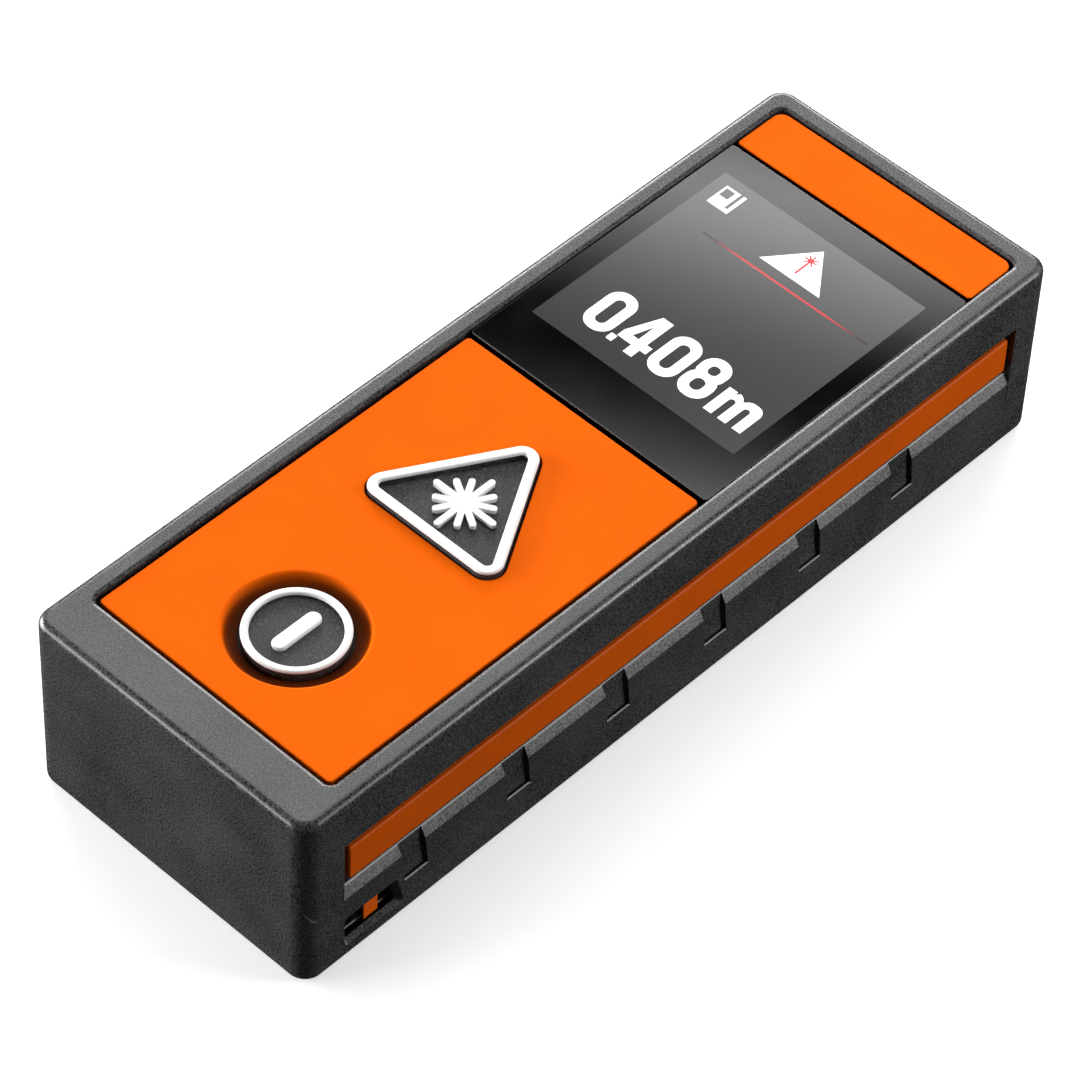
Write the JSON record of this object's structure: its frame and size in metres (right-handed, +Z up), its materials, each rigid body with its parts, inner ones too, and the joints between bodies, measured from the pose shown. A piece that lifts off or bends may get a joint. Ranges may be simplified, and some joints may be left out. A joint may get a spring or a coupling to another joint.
{
  "type": "laser distance meter",
  "caption": "Pocket laser distance meter: charcoal case, orange keypad panel with triangular measure and round power buttons, black display, lens bezel and battery door.",
  "frame": {"origin": "middle of the underside, the lowest plane of the case, half way along and across it", "axes": "+X across the body towards the side with the lanyard recess, +Y along the body towards the laser end, +Z up out of the keypad and display"},
  "size_m": [0.0364, 0.104, 0.0232],
  "materials": {
    "case": "fine-grained charcoal moulding",
    "accent": "satin orange moulding",
    "button_skin": "matt charcoal moulding",
    "marking": "white moulding",
    "inner_plastic": "black moulding",
    "display_glass": "glossy smoked window",
    "optical_glass": "coated clear glass",
    "filter": "deep red filter glass",
    "silicone": "soft dark silicone",
    "circuit_board": "green solder mask",
    "flex": "amber film cable",
    "steel": "plated steel",
    "brass": "turned brass",
    "cell": "plain dark sleeve"
  },
  "bodies": {
    "root": {"backlight": "marking", "battery_left": "cell", "battery_right": "cell", "board_screw_1": "steel", "board_screw_2": "steel", "buzzer": "inner_plastic", "collimator_lens": "optical_glass", "contact_bridge": "steel", "contact_negative": "steel", "contact_positive": "steel", "contact_spring_left": "steel", "contact_spring_right": "steel", "crystal": "steel", "display_driver": "inner_plastic", "display_gasket": "silicone", "display_window": "display_glass", "end_cap": "accent", "front_bezel": "inner_plastic", "front_housing": "inner_plastic", "keypad_mat": "silicone", "keypad_panel": "accent", "laser_barrel": "brass", "laser_diode": "brass", "laser_window": "optical_glass", "lcd_flex": "flex", "lcd_panel": "display_glass", "lens_retainer": "inner_plastic", "main_board": "circuit_board", "measure_switch": "inner_plastic", "optical_filter": "filter", "optics_block": "inner_plastic", "optics_screw_1": "steel", "optics_screw_2": "steel", "outer_frame": "case", "photodiode": "steel", "power_switch": "inner_plastic", "processor_chip": "inner_plastic", "rear_cover": "case", "rear_housing": "accent", "rear_screw_1": "steel", "rear_screw_2": "steel", "rear_screw_3": "steel", "rear_screw_4": "steel", "receiver_board": "circuit_board", "receiver_lens": "optical_glass", "sensor_flex": "flex", "side_strip_left": "accent", "side_strip_right": "accent"},
    "measure_key": {"measure_button": "button_skin", "measure_rim": "marking", "measure_star": "marking", "measure_plunger": "steel"},
    "power_key": {"power_button": "button_skin", "power_ring": "marking", "power_bar": "marking", "power_plunger": "steel"},
    "battery_door": {"battery_door": "case"}
  },
  "joints": [
    {"name": "measure_press", "type": "slide", "parent": "root", "child": "measure_key", "axis": [0, 0, -1], "range_m": [0, 0.0006], "stiffness_N_per_m": 2500},
    {"name": "power_press", "type": "slide", "parent": "root", "child": "power_key", "axis": [0, 0, -1], "range_m": [0, 0.0005], "stiffness_N_per_m": 2500},
    {"name": "battery_door_hinge", "type": "hinge", "parent": "root", "child": "battery_door", "pos_m": [0, 0.0004, 0.001], "axis": [1, 0, 0], "range_deg": [0, 95]}
  ]
}
